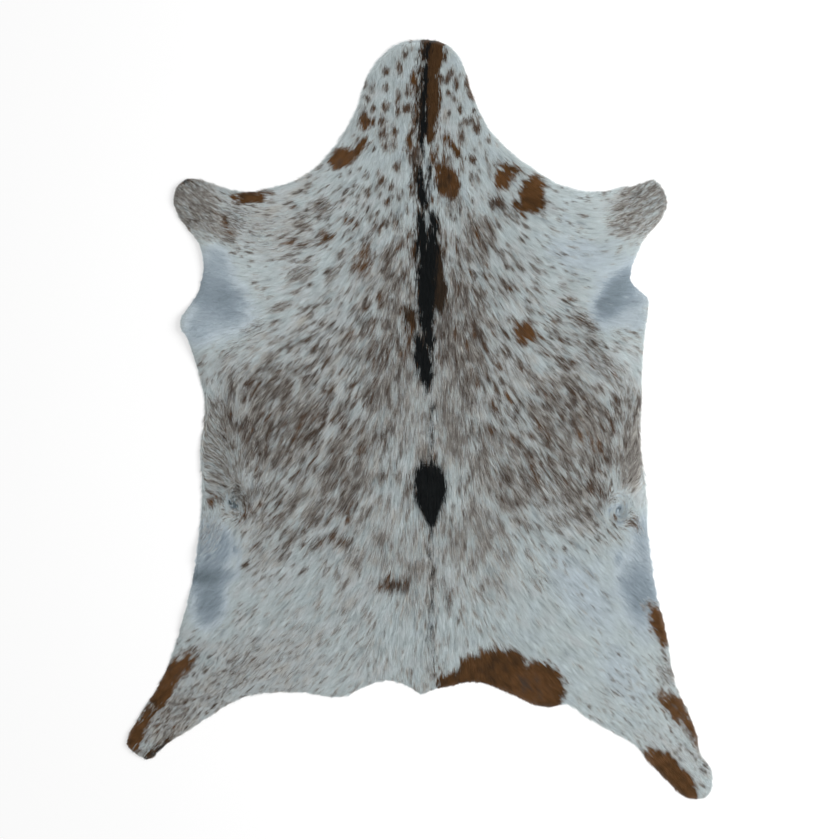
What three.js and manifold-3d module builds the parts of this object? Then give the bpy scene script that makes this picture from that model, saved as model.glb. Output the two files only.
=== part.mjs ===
// A goatskin rug: one tanned skin with its hair on, laid out on the floor with the hair up.
// Millimetres, +Z up. The neck points to +Y, the tail to -Y, and the skin lies on z = 0.
// The one solid is the leather and the coat that lies on it. It is carved as a block whose upper
// and lower faces carry the folds, and is then cut along the outline as a skin is trimmed.

import * as THREE from 'three';
import { mergeVertices } from 'three/addons/utils/BufferGeometryUtils.js';
import Module from 'manifold-3d';

// ---- driving dimensions ----------------------------------------------------------------------
const LEATHER = 1.4; // the tanned skin without its hair
const COAT_AT_RIM = 1.8; // depth of the laid coat at the cut edge
const COAT_ON_BODY = 3.8; // depth of the laid coat a hand's width in from the edge
const COAT_ON_SPINE = 1.6; // what the longer hair along the back adds
const RIM_WIDTH = 55; // the coat thickens over this distance from the edge
const SPINE_HALF_WIDTH = 60; // half width of the longer hair along the back
const COAT_UNEVENNESS = 0.35; // height of the soft waves in the laid coat
const WAVE_LENGTH = 100; // length of those waves across the body
const WAVE_SLANT = 0.4; // how much the waves lean towards the tail
const OUTLINE_STEP = 10; // spacing of the corners along the cut edge
const FOLD_STEP = 18; // spacing of the corners across the upper and lower faces
const TRIM_MARGIN = 12; // how far the uncut block reaches past the outline
const KNIFE_DEPTH = 60; // height of the cut, half of it above the floor

// ---- outline ---------------------------------------------------------------------------------
// The cut edge, clockwise from the crown of the neck, one row for each turn of the edge.
// Columns: x, y. A smooth curve runs through all of them.
const OUTLINE = {
  rightNeck: [
    [0, 474], [32, 469], [53, 448], [65, 412], [86, 365], [110, 337], [142, 313], [178, 291],
    [214, 283], [247, 287], [277, 293],
  ],
  rightForeleg: [
    [293, 300], [305, 287], [311, 267], [299, 243], [284, 227], [272, 203], [264, 180],
  ],
  rightFlank: [
    [267, 168], [288, 149], [286, 133], [281, 92], [278, 10], [277, -32], [285, -95], [287, -152],
    [300, -230], [312, -281], [322, -337],
  ],
  rightHindLeg: [
    [337, -366], [349, -400], [351, -421], [363, -431], [367, -456], [360, -474], [336, -476],
    [319, -463], [302, -446], [288, -431], [267, -407], [240, -392], [208, -373], [185, -357],
  ],
  rump: [
    [171, -361], [150, -360], [108, -342], [72, -330], [40, -335], [14, -341], [4, -347], [-3, -344],
    [-14, -335], [-43, -328], [-72, -338], [-97, -349], [-150, -343], [-204, -345],
  ],
  leftHindLeg: [
    [-230, -354], [-263, -374], [-304, -401], [-324, -415], [-336, -428], [-354, -420], [-366, -406],
    [-349, -370], [-328, -337], [-314, -308], [-300, -267], [-289, -225],
  ],
  leftFlank: [
    [-278, -170], [-272, -88], [-274, -38], [-268, 12], [-274, 50], [-290, 99], [-300, 118],
    [-291, 136], [-276, 159],
  ],
  leftForeleg: [
    [-270, 193], [-276, 219], [-298, 247], [-308, 274], [-300, 293], [-288, 301], [-256, 292],
    [-219, 283], [-178, 290],
  ],
  leftNeck: [
    [-144, 303], [-120, 323], [-98, 351], [-80, 383], [-65, 428], [-44, 456], [-21, 470],
  ],
};

// ---- folds -----------------------------------------------------------------------------------
// Where the skin has dried uneven it stands a little off the floor in soft ridges, with troughs
// between them. Each row is one ridge: a line from (x1, y1) to (x2, y2), how far to each side of
// the line it reaches before it dies out, and its height at the first end and at the second.
// Columns: name, x1, y1, x2, y2, reach, height1, height2
const RIDGES = [
  ['right elbow flap', 296, 122, 238, 98, 52, 11, 4],
  ['right shoulder edge', 268, 222, 212, 158, 46, 7, 2],
  ['left elbow flap', -302, 112, -226, 84, 50, 9, 3],
  ['left shoulder edge', -284, 214, -230, 172, 46, 7, 2],
  ['left flank pleat', -284, -166, -222, -176, 36, 8, 3],
  ['left flank line', -226, -138, -224, -216, 24, 3, 2],
  ['left stifle', -300, -242, -246, -246, 42, 6, 2],
  ['right flank pleat', 294, -172, 240, -160, 38, 7, 3],
  ['right stifle', 306, -262, 258, -238, 42, 6, 2],
  ['left whorl fold', -276, -40, -236, -104, 32, 3, 3],
  ['right whorl fold', 282, -52, 246, -112, 32, 3, 3],
  ['right hock', 356, -446, 322, -404, 36, 5, 1],
  ['left hock', -352, -402, -318, -362, 36, 5, 1],
  ['right wrist', 304, 282, 276, 246, 36, 5, 1],
  ['left wrist', -302, 284, -274, 252, 36, 6, 1],
  ['crown of the neck', -34, 462, 36, 460, 30, 3, 4],
];

// The corners of the cut edge, evenly spaced, with the middle of the outline at the origin.
function cutEdge() {
  const turns = Object.values(OUTLINE).flat();
  const corners = turns.map(([x, y]) => new THREE.Vector3(x, y, 0));
  const edge = new THREE.CatmullRomCurve3(corners, true, 'centripetal');
  edge.arcLengthDivisions = corners.length * 12;
  const count = Math.round(edge.getLength() / OUTLINE_STEP);
  const points = edge.getSpacedPoints(count).slice(0, count);
  const box = new THREE.Box3().setFromPoints(points);
  const middle = box.getCenter(new THREE.Vector3());
  return points.map((p) => new THREE.Vector2(p.x - middle.x, p.y - middle.y));
}

// The nearest point on the line a-b to p: its distance, and how far along the line it lies.
function nearestOnLine(p, a, b) {
  const run = b.clone().sub(a);
  const along = THREE.MathUtils.clamp(p.clone().sub(a).dot(run) / run.lengthSq(), 0, 1);
  const distance = a.clone().addScaledVector(run, along).distanceTo(p);
  return { distance, along };
}

function distanceToRim(p, rim) {
  const gaps = rim.map((a, i) => nearestOnLine(p, a, rim[(i + 1) % rim.length]).distance);
  return Math.min(...gaps);
}

// How far the skin stands off the floor. Where ridges overlap, the higher one counts.
function lift(p) {
  const heights = RIDGES.map(([, x1, y1, x2, y2, reach, height1, height2]) => {
    const a = new THREE.Vector2(x1, y1);
    const b = new THREE.Vector2(x2, y2);
    const { distance, along } = nearestOnLine(p, a, b);
    const height = THREE.MathUtils.lerp(height1, height2, along);
    return height * (1 - THREE.MathUtils.smoothstep(distance, 0, reach));
  });
  return Math.max(...heights);
}

// Thickness of leather and laid coat: thin at the rim, thickest along the back.
function thickness(p, rim) {
  const inward = THREE.MathUtils.smoothstep(distanceToRim(p, rim), 0, RIM_WIDTH);
  const spine = Math.exp(-((p.x / SPINE_HALF_WIDTH) ** 2));
  const turn = (2 * Math.PI) / WAVE_LENGTH;
  const waves = Math.sin((p.x + p.y * WAVE_SLANT) * turn) * Math.cos(p.y * turn);
  const coat = THREE.MathUtils.lerp(COAT_AT_RIM, COAT_ON_BODY + COAT_ON_SPINE * spine, inward);
  return LEATHER + coat + COAT_UNEVENNESS * waves * inward;
}

// The block before it is trimmed: a flat box whose upper and lower corners take the folds.
function foldedBlock(rim) {
  const box = new THREE.Box2().setFromPoints(rim).expandByScalar(TRIM_MARGIN);
  const size = box.getSize(new THREE.Vector2());
  const across = Math.ceil(size.x / FOLD_STEP);
  const along = Math.ceil(size.y / FOLD_STEP);
  const block = new THREE.BoxGeometry(size.x, size.y, 2, across, along, 1);
  const corners = block.getAttribute('position');
  for (let i = 0; i < corners.count; i += 1) {
    const p = new THREE.Vector2(corners.getX(i), corners.getY(i));
    const upper = corners.getZ(i) > 0 ? thickness(p, rim) : 0;
    corners.setZ(i, lift(p) + upper);
  }
  return block;
}

// The trimming knife: everything inside the outline, well above and below the skin.
function insideOfCut(rim) {
  const stroke = { depth: KNIFE_DEPTH, bevelEnabled: false };
  const knife = new THREE.ExtrudeGeometry(new THREE.Shape(rim), stroke);
  knife.translate(0, 0, -KNIFE_DEPTH / 2);
  return knife;
}

const wasm = await Module();
wasm.setup();

function toSolid(geometry) {
  geometry.deleteAttribute('normal');
  geometry.deleteAttribute('uv');
  const merged = mergeVertices(geometry);
  return new wasm.Manifold(new wasm.Mesh({
    numProp: 3,
    vertProperties: new Float32Array(merged.getAttribute('position').array),
    triVerts: new Uint32Array(merged.getIndex().array),
  }));
}

function toGeometry(solid) {
  const { vertProperties, triVerts } = solid.getMesh();
  const geometry = new THREE.BufferGeometry();
  geometry.setAttribute('position', new THREE.BufferAttribute(vertProperties, 3));
  geometry.setIndex(new THREE.BufferAttribute(triVerts, 1));
  geometry.computeVertexNormals();
  return geometry;
}

function makeHide() {
  const rim = cutEdge();
  const skin = toSolid(foldedBlock(rim)).intersect(toSolid(insideOfCut(rim)));
  const coat = new THREE.MeshStandardMaterial({ color: '#a9b2b1', roughness: 0.75, metalness: 0 });
  const hide = new THREE.Mesh(toGeometry(skin), coat);
  hide.name = 'hide';
  return hide;
}

const rug = new THREE.Group();
rug.add(makeHide());
export default rug;
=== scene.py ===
import math

import bmesh
import bpy
import numpy as np
from mathutils.bvhtree import BVHTree
from mathutils.geometry import delaunay_2d_cdt
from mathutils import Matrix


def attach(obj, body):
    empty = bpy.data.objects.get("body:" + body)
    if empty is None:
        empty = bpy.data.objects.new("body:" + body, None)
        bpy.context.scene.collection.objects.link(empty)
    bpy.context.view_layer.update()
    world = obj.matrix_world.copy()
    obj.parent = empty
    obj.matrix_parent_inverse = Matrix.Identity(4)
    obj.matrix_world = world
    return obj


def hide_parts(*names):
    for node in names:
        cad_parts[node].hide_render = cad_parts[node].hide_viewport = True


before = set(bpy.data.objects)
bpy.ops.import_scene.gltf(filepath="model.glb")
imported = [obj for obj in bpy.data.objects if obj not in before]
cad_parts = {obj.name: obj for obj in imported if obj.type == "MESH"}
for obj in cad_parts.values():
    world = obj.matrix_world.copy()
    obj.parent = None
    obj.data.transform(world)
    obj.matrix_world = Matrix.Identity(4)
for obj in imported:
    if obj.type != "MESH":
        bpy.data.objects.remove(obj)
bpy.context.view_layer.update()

# ---------------------------------------------------------------------------------------------
# The skin. One goatskin, tanned with its hair on and trimmed with a knife. The flesh side that
# lies on the floor is buffed to a suede, and the grain side carries the hair. It lies where the
# hide of the frame lies, a little inside its edge, because the hair reaches past the cut.
SKIN_THICKNESS = 0.0014
SKIN_INSIDE_RIM = 0.0017
SKIN_WAVER = 0.0004          # how much the knife wandered
KNIFE_WAVES = (31, 57, 93, 141, 233, 367)   # so many times on its way round
SKIN_STEP = 0.007            # spacing of the corners across the skin
ROW_SPACING = 0.866          # their rows are so much closer, as in a honeycomb
CLEAR_OF_CUT = 0.6           # and keep so much of that spacing from the cut
RIM_STEP = 0.003             # spacing of the corners along the cut
ROUNDING_PASSES = 3          # how often those are rounded off
MAP_STEP = 0.002             # spacing of the maps of height, combing and markings
MAP_MARGIN = 0.02            # how far those maps reach past the edge
FOLD_SOFTNESS = 0.006        # the frame's flat facets are smoothed over this distance
COAT_TOP = 0.006             # about how high the upper side of the hide lies

bm = bmesh.new()
bm.from_mesh(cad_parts["hide"].data)
bmesh.ops.remove_doubles(bm, verts=bm.verts, dist=1e-6)
bm.normal_update()


def faces_facing(up):
    """A search tree of the hide's upper faces, or of those of its underside."""
    chosen = [f for f in bm.faces if f.normal.z * up > 0.5]
    corners = [v.co.copy() for v in bm.verts]
    return BVHTree.FromPolygons(corners, [[v.index for v in f.verts] for f in chosen])


def edge_loop():
    """The hide's lower edge as one ordered ring of corners."""
    after = {}
    for f in bm.faces:
        if f.normal.z < -0.5:
            for loop in f.loops:
                if loop.link_loop_radial_next.face.normal.z > -0.5:
                    after[loop.vert.index] = loop.link_loop_next.vert
    first = bm.verts[min(after)]
    ring = [first]
    while after[ring[-1].index] is not first:
        ring.append(after[ring[-1].index])
    return np.array([v.co.xy for v in ring])


def evenly(ring, step):
    """The ring again, with its corners a step apart and its facets rounded off."""
    closed = np.vstack([ring, ring[:1]])
    run = np.concatenate([[0], np.cumsum(np.hypot(*np.diff(closed, axis=0).T))])
    places = np.linspace(0, run[-1], int(run[-1] / step), endpoint=False)
    even = np.stack([np.interp(places, run, closed[:, i]) for i in (0, 1)], axis=1)
    for _ in range(ROUNDING_PASSES):
        even = even / 2 + (np.roll(even, 1, axis=0) + np.roll(even, -1, axis=0)) / 4
    return even


def signed_area(ring):
    """The area inside a ring, above nought where it runs anticlockwise."""
    onward = np.roll(ring, -1, axis=0)
    return np.sum(ring[:, 0] * onward[:, 1] - ring[:, 1] * onward[:, 0]) / 2


bm.verts.ensure_lookup_table()
rim = evenly(edge_loop(), RIM_STEP)
if signed_area(rim) < 0:
    rim = rim[::-1]
low = rim.min(axis=0) - MAP_MARGIN
map_size = np.ceil((rim.max(axis=0) + MAP_MARGIN - low) / MAP_STEP).astype(int) + 1
map_x = low[0] + MAP_STEP * np.arange(map_size[0])
map_y = low[1] + MAP_STEP * np.arange(map_size[1])
grid_x, grid_y = np.meshgrid(map_x, map_y, indexing="ij")


def read(values, x, y):
    """A map's value at each place, between its four nearest cells."""
    step = MAP_STEP * (map_size[0] - 1) / (values.shape[0] - 1)
    i = np.clip((x - low[0]) / step, 0, values.shape[0] - 1.001)
    j = np.clip((y - low[1]) / step, 0, values.shape[1] - 1.001)
    i0, j0 = i.astype(int), j.astype(int)
    fi, fj = i - i0, j - j0
    near = values[i0, j0] * (1 - fj) + values[i0, j0 + 1] * fj
    far = values[i0 + 1, j0] * (1 - fj) + values[i0 + 1, j0 + 1] * fj
    return near * (1 - fi) + far * fi


def inside_distance(ring):
    """A map of the distance to the ring, above nought inside it and below nought outside."""
    nearest = np.full(grid_x.shape, np.inf)
    inside = np.zeros(grid_x.shape, bool)
    for (ax, ay), (bx, by) in zip(ring, np.roll(ring, -1, axis=0)):
        dx, dy = bx - ax, by - ay
        along = ((grid_x - ax) * dx + (grid_y - ay) * dy) / (dx * dx + dy * dy)
        along = np.clip(along, 0, 1)
        nearest = np.minimum(
            nearest, (grid_x - ax - along * dx) ** 2 + (grid_y - ay - along * dy) ** 2)
        if ay != by:
            rows = (map_y >= min(ay, by)) & (map_y < max(ay, by))
            crossing = ax + (map_y[rows] - ay) * dx / dy
            inside[:, rows] ^= map_x[:, None] < crossing[None, :]
    return np.sqrt(nearest) * np.where(inside, 1, -1)


def blurred(values, reach, step=MAP_STEP):
    """A map softened over a distance."""
    cells = int(3 * reach / step) + 1
    weights = np.exp(-0.5 * (np.arange(-cells, cells + 1) * step / reach) ** 2)
    weights /= weights.sum()
    for axis in (0, 1):
        padding = [(cells, cells) if a == axis else (0, 0) for a in (0, 1)]
        padded = np.pad(values, padding, mode="edge")
        values = sum(w * np.roll(padded, -k, axis=axis)[:values.shape[0], :values.shape[1]]
                     for k, w in enumerate(weights))
    return values


def height_map(tree, guess):
    """The height of the tree's faces over the whole map, carried on past the edge. Every third
    cell is looked up, and the others are filled in between."""
    coarse = 3
    heights = np.array([[tree.find_nearest((x, y, guess))[0].z for y in map_y[::coarse]]
                        for x in map_x[::coarse]])
    fine = np.array([np.interp(map_y, map_y[::coarse], row) for row in heights])
    fine = np.array([np.interp(map_x, map_x[::coarse], column) for column in fine.T]).T
    return blurred(fine, FOLD_SOFTNESS)


rim_map = inside_distance(rim)
floor_gap_map = height_map(faces_facing(-1), 0.0)
coat_top_map = height_map(faces_facing(1), COAT_TOP)
bm.free()

knife = np.random.default_rng(11)
toward = np.roll(rim, -1, axis=0) - np.roll(rim, 1, axis=0)
inward = np.stack([-toward[:, 1], toward[:, 0]], axis=1) / np.hypot(*toward.T)[:, None]
turns = np.linspace(0, 2 * math.pi, len(rim), endpoint=False)
waver = sum(np.sin(turns * n + knife.uniform(0, 6.3)) for n in KNIFE_WAVES) / 2
cut = rim + inward * (SKIN_INSIDE_RIM + SKIN_WAVER * waver)[:, None]


def put_in_scene(name, data):
    """A new object of this mesh, light or camera."""
    thing = bpy.data.objects.new(name, data)
    bpy.context.scene.collection.objects.link(thing)
    return thing


rows = np.arange(low[1], low[1] + map_size[1] * MAP_STEP, SKIN_STEP * ROW_SPACING)
field = [(x + SKIN_STEP / 2 * (k % 2), y) for k, y in enumerate(rows)
         for x in np.arange(low[0], low[0] + map_size[0] * MAP_STEP, SKIN_STEP)]
field = np.array(field)
field = field[read(rim_map, *field.T) > SKIN_INSIDE_RIM + SKIN_STEP * CLEAR_OF_CUT]
points = np.vstack([cut, field])
ring_edges = [(i, (i + 1) % len(cut)) for i in range(len(cut))]
flat, _, triangles, *_ = delaunay_2d_cdt([tuple(p) for p in points], ring_edges, [], 1, 1e-7)
flat = np.array([tuple(p) for p in flat])
skin_mesh = bpy.data.meshes.new("skin")
skin_mesh.from_pydata(
    np.column_stack([flat, read(floor_gap_map, *flat.T)]).tolist(), [], triangles)
skin = put_in_scene("skin", skin_mesh)
bpy.ops.object.select_all(action="DESELECT")
skin.select_set(True)
bpy.context.view_layer.objects.active = skin
if skin_mesh.polygons[0].normal.z < 0:
    skin_mesh.flip_normals()
solidify = skin.modifiers.new("thickness", "SOLIDIFY")
solidify.thickness = SKIN_THICKNESS
solidify.offset = 1
bpy.ops.object.modifier_apply(modifier="thickness")
bpy.ops.object.shade_smooth_by_angle(angle=math.radians(50))


def linear(code):
    """An sRGB hex colour as the linear colour that shaders take."""
    parts = [int(code[i:i + 2], 16) / 255 for i in (1, 3, 5)]
    return [c / 12.92 if c <= 0.04045 else ((c + 0.055) / 1.055) ** 2.4 for c in parts] + [1.0]


def add(tree, kind, settings=(), links=(), stops=()):
    """Adds a node. settings are its own properties or, by name or number, its sockets' values;
    links are what feeds its sockets, as (node, output); stops are a ramp's (place, hex colour)."""
    node = tree.nodes.new(kind)
    for name, value in dict(settings).items():
        if isinstance(name, int) or name in node.inputs:
            node.inputs[name].default_value = value
        else:
            setattr(node, name, value)
    for name, (source, output) in dict(links).items():
        tree.links.new(source.outputs[output], node.inputs[name])
    elements = node.color_ramp.elements if stops else ()
    for _ in stops[2:]:
        elements.new(0.5)
    for element, (place, code) in zip(elements, stops):
        element.position = place
        element.color = linear(code)
    return node


def new_material(name):
    """An empty Principled material and its tree and shader."""
    material = bpy.data.materials.new(name)
    material.use_nodes = True
    return material, material.node_tree, material.node_tree.nodes["Principled BSDF"]


# Buffed flesh side: a pale, dry suede. The nap is short and matt, greyer where the belly was, and
# the knife and the dried veins leave faint streaks.
suede, tree, shader = new_material("suede_flesh_side")
place = add(tree, "ShaderNodeTexCoord")
broad = add(tree, "ShaderNodeTexNoise", {"Scale": 9.0, "Detail": 4.0}, {"Vector": (place, "Object")})
tint = add(tree, "ShaderNodeValToRGB", links={"Fac": (broad, "Fac")},
           stops=((0.3, "#a89c8a"), (0.5, "#b9ae9c"), (0.72, "#c4bcab")))
nap = add(tree, "ShaderNodeTexNoise", {"Scale": 900.0, "Detail": 3.0}, {"Vector": (place, "Object")})
shade = add(tree, "ShaderNodeValToRGB", links={"Fac": (nap, "Fac")},
            stops=((0.25, "#c9c9c9"), (0.75, "#ffffff")))
both = add(tree, "ShaderNodeMix", {"data_type": "RGBA", "blend_type": "MULTIPLY", 0: 1.0},
           {6: (tint, "Color"), 7: (shade, "Color")})
tree.links.new(both.outputs[2], shader.inputs["Base Color"])
bump = add(tree, "ShaderNodeBump", {"Strength": 0.35, "Distance": 0.0003}, {"Height": (nap, "Fac")})
tree.links.new(bump.outputs["Normal"], shader.inputs["Normal"])
shader.inputs["Roughness"].default_value = 0.92
shader.inputs["Specular IOR Level"].default_value = 0.2
skin_mesh.materials.append(suede)

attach(skin, "root")
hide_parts("hide")
cut_map = inside_distance(cut)

# ---------------------------------------------------------------------------------------------
# The lie of the coat. A goat's hair runs from the neck to the tail and outwards over the ribs,
# turns along each leg, and meets the belly hair in a feathered ridge that ends in a whorl on each
# flank. It is set at a few places on one side, and mirrored about the backbone.
MIDLINE = 0.013              # where the backbone runs
COMB_REACH = 0.030           # how far each place in the table has its say
# x and y in mm from the middle of the rug, way in degrees (270 is to the tail, 180 is to the
# side), length of the hair in mm.
COMBING = (
    ("crown", 6, 458, 270, 9), ("side of the crown", -34, 440, 264, 9),
    ("nape", 4, 385, 269, 11), ("side of the neck", -62, 400, 256, 10),
    ("foot of the neck", 4, 318, 269, 12), ("neck to shoulder", -58, 322, 250, 11),
    ("front of the shoulder", -110, 322, 214, 11), ("withers", 2, 250, 268, 15),
    ("inner shoulder", -66, 255, 241, 13), ("shoulder", -120, 262, 212, 12),
    ("outer shoulder", -172, 262, 188, 11), ("front of the foreleg", -222, 262, 168, 10),
    ("foreleg", -262, 258, 142, 10), ("foot of the foreleg", -292, 288, 134, 8),
    ("back of the foreleg", -262, 222, 142, 9), ("elbow", -236, 204, 172, 9),
    ("shoulder blade", -150, 206, 204, 13), ("beside the withers", -70, 196, 238, 16),
    ("armpit", -254, 164, 172, 6), ("below the armpit", -262, 126, 174, 6),
    ("behind the elbow", -210, 150, 192, 10), ("ribs, front", -150, 142, 211, 14),
    ("ribs, upper front", -86, 140, 234, 17), ("back, front", -8, 140, 265, 19),
    ("elbow flap", -284, 98, 214, 9), ("ribs, low front", -214, 88, 213, 13),
    ("ribs, middle", -150, 78, 224, 17), ("ribs, upper", -86, 70, 240, 19),
    ("back", -8, 40, 266, 21), ("belly edge, front", -258, 44, 252, 12),
    ("ribs, low", -214, 30, 230, 16), ("flank edge, front", -262, 8, 296, 12),
    ("ribs, low back", -186, -6, 230, 18), ("ribs, back", -124, 4, 236, 20),
    ("feather, front", -232, -4, 256, 15), ("flank edge", -260, -30, 318, 12),
    ("feather", -228, -40, 266, 14), ("flank edge, back", -266, -66, 6, 11),
    ("inside the flank edge", -246, -62, 322, 11), ("feather, back", -226, -72, 268, 11),
    ("flank", -186, -64, 228, 17), ("loin, side", -112, -62, 240, 20),
    ("loin", -14, -64, 264, 21), ("belly edge, back", -262, -110, 246, 9),
    ("below the whorl", -206, -122, 220, 14), ("behind the whorl", -230, -150, 246, 9),
    ("thigh, front", -150, -130, 228, 18), ("rump, side", -90, -140, 241, 19),
    ("rump", -14, -160, 265, 20), ("stifle", -262, -190, 208, 6),
    ("inner stifle", -214, -200, 226, 12), ("thigh edge", -276, -240, 214, 8),
    ("thigh", -160, -214, 226, 16), ("upper thigh", -92, -220, 239, 18),
    ("thigh, back", -236, -276, 230, 12), ("lower thigh", -180, -286, 222, 14),
    ("buttock", -110, -292, 230, 15), ("tail head", -12, -290, 265, 17),
    ("hock", -286, -306, 230, 10), ("inner hock", -226, -338, 220, 11),
    ("shank", -318, -356, 230, 9), ("hind foot", -346, -404, 230, 8),
    ("seat", -140, -336, 226, 11), ("tail", 4, -338, 268, 9),
)
# Along the flank the belly hair runs in from the edge and meets the rib hair in the feather, so
# the lie changes within a few mm. As the table above, with a say of its own.
FEATHER_REACH = 0.011
FEATHER_HOLD = 1.5           # how firmly it holds against the table above
FEATHER = (
    ("edge", -268, 22, 300, 11), ("", -267, -4, 312, 11), ("", -267, -28, 328, 11),
    ("", -268, -48, 344, 11), ("", -268, -66, 352, 10), ("", -268, -84, 350, 10),
    ("between", -252, 16, 296, 12), ("", -250, -10, 302, 12), ("", -250, -34, 312, 12),
    ("", -250, -56, 320, 12), ("", -248, -76, 322, 10),
    ("feather", -238, 24, 272, 14), ("", -236, -2, 277, 14), ("", -234, -28, 280, 14),
    ("", -231, -52, 280, 12), ("", -229, -74, 276, 10),
    ("ribs", -219, 20, 246, 15), ("", -217, -10, 243, 15), ("", -215, -40, 243, 15),
    ("", -213, -66, 244, 14),
)
# x and y of each whorl in mm, half its width and height, and which way it turns from above.
WHORLS = ((-230, -104, 13, 21, -1), (249, -113, 14, 21, 1))
WHORL_HOLD, WHORL_FADE = 1.4, 1.6        # how firmly it holds, and how softly it ends
WHORL_ROUND, WHORL_OUTWARD = 0.94, 0.3   # how much its hair runs round it, and outwards
WHORL_HAIR = 0.005                       # length of its hair


def say_of(x, y, reach):
    """How much a place at x, y in mm has to say: what it says nearby, and that with the little
    that it says everywhere, so that no cell is without an answer."""
    apart = (grid_x - x / 1000) ** 2 + (grid_y - y / 1000) ** 2
    nearby = np.exp(-0.5 * apart / reach ** 2)
    return nearby, nearby + 1e-9 / (apart + 1e-4)


def combed(rows, reach):
    """Maps of the lie and length of the hair from a table of places, and how near they are."""
    table = np.array([row[1:] for row in rows], float)
    mirrored = table * (-1, 1, 1, 1) + (2 * MIDLINE * 1000, 0, 0, 0)
    mirrored[:, 2] = 180 - mirrored[:, 2]
    total = np.full(grid_x.shape, 1e-12)
    along_x, along_y, lengths, closest = (np.zeros(grid_x.shape) for _ in range(4))
    for x, y, way, length in np.vstack([table, mirrored]):
        nearby, weight = say_of(x, y, reach)
        total += weight
        along_x += weight * math.cos(math.radians(way))
        along_y += weight * math.sin(math.radians(way))
        lengths += weight * length / 1000
        closest = np.maximum(closest, nearby)
    return along_x / total, along_y / total, lengths / total, closest


flow_x, flow_y, length_map, _ = combed(COMBING, COMB_REACH)
near_x, near_y, near_length, share = combed(FEATHER, FEATHER_REACH)
share = np.clip(FEATHER_HOLD * share, 0, 1)
flow_x, flow_y = flow_x + share * (near_x - flow_x), flow_y + share * (near_y - flow_y)
length_map = length_map + share * (near_length - length_map)
whorl_map = np.zeros(grid_x.shape)
for x, y, half_width, half_height, turning in WHORLS:
    dx, dy = (grid_x - x / 1000) * 1000 / half_width, (grid_y - y / 1000) * 1000 / half_height
    away = np.hypot(dx, dy) + 1e-6
    share = np.clip(WHORL_HOLD * np.exp(-(away ** 3) / WHORL_FADE), 0, 1)
    spin_x, spin_y = -dy * turning * half_width, dx * turning * half_height
    spin = np.hypot(spin_x, spin_y) + 1e-6
    turned_x = spin_x / spin * WHORL_ROUND + dx / away * WHORL_OUTWARD
    turned_y = spin_y / spin * WHORL_ROUND + dy / away * WHORL_OUTWARD
    flow_x = flow_x * (1 - share) + share * turned_x
    flow_y = flow_y * (1 - share) + share * turned_y
    length_map = length_map * (1 - share) + share * WHORL_HAIR * np.clip(away, 0.7, 1)
    whorl_map = np.maximum(whorl_map, share)
flow_size = np.hypot(flow_x, flow_y) + 1e-9
flow_x /= flow_size
flow_y /= flow_size

# Hair clings together in streaks that run with the lie. A streak map is even noise, a few mm
# across, smeared along the lie of the hair: about -2 to 2, and level along each streak.
FINE_STEP = MAP_STEP / 2
STREAK_WIDTHS = (0.0009, 0.0011, 0.0006, 0.0028)
STREAK_REACH, STREAK_STEP = 0.011, 0.0012
fine_size = (map_size - 1) * 2 + 1
fine_x, fine_y = np.meshgrid(low[0] + FINE_STEP * np.arange(fine_size[0]),
                             low[1] + FINE_STEP * np.arange(fine_size[1]), indexing="ij")
seeded = np.random.default_rng(31)
grains = [blurred(seeded.normal(0, 1, fine_x.shape), width, FINE_STEP) for width in STREAK_WIDTHS]
streaks = [grain.copy() for grain in grains]
for onward_way in (1, -1):
    x, y = fine_x, fine_y
    for _ in range(int(STREAK_REACH / 2 / STREAK_STEP)):
        along_x, along_y = read(flow_x, x, y), read(flow_y, x, y)
        x, y = x + onward_way * STREAK_STEP * along_x, y + onward_way * STREAK_STEP * along_y
        for total, grain in zip(streaks, grains):
            total += read(grain, x, y)
streaks = [(total - total.mean()) / total.std() for total in streaks]

# ---------------------------------------------------------------------------------------------
# The markings. They are in the hair, so each hair takes one pigment for its whole length. A
# pigment is a place on one scale: skin-blue where the hair is thin, white, roan, brown, black.
# The pearl stop holds the painted shade of the left side as well as the coat's own greyer whites, and
# the silver stop holds painted highlights.
SLATE, BLUE_DEEP, BLUE, SILVER_HIGHLIGHT, WHITE, PEARL_AND_SHADE, CREAM = 0.01, 0.06, 0.12, 0.18, 0.26, 0.30, 0.34
GREY, ROAN, CHESTNUT, BROWN, DARK, BLACK = 0.45, 0.56, 0.67, 0.77, 0.87, 0.97
PIGMENTS = (
    (SLATE, "#4f585b"), (BLUE_DEEP, "#79878f"), (BLUE, "#99a7b1"), (SILVER_HIGHLIGHT, "#c0ccd3"),
    (WHITE, "#c1cccd"), (PEARL_AND_SHADE, "#c0c7c9"), (CREAM, "#b9b8b1"), (GREY, "#807c78"), (ROAN, "#463c35"),
    (CHESTNUT, "#6a4a2d"), (BROWN, "#543a20"), (DARK, "#33281e"), (BLACK, "#080d0f"),
)
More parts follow.
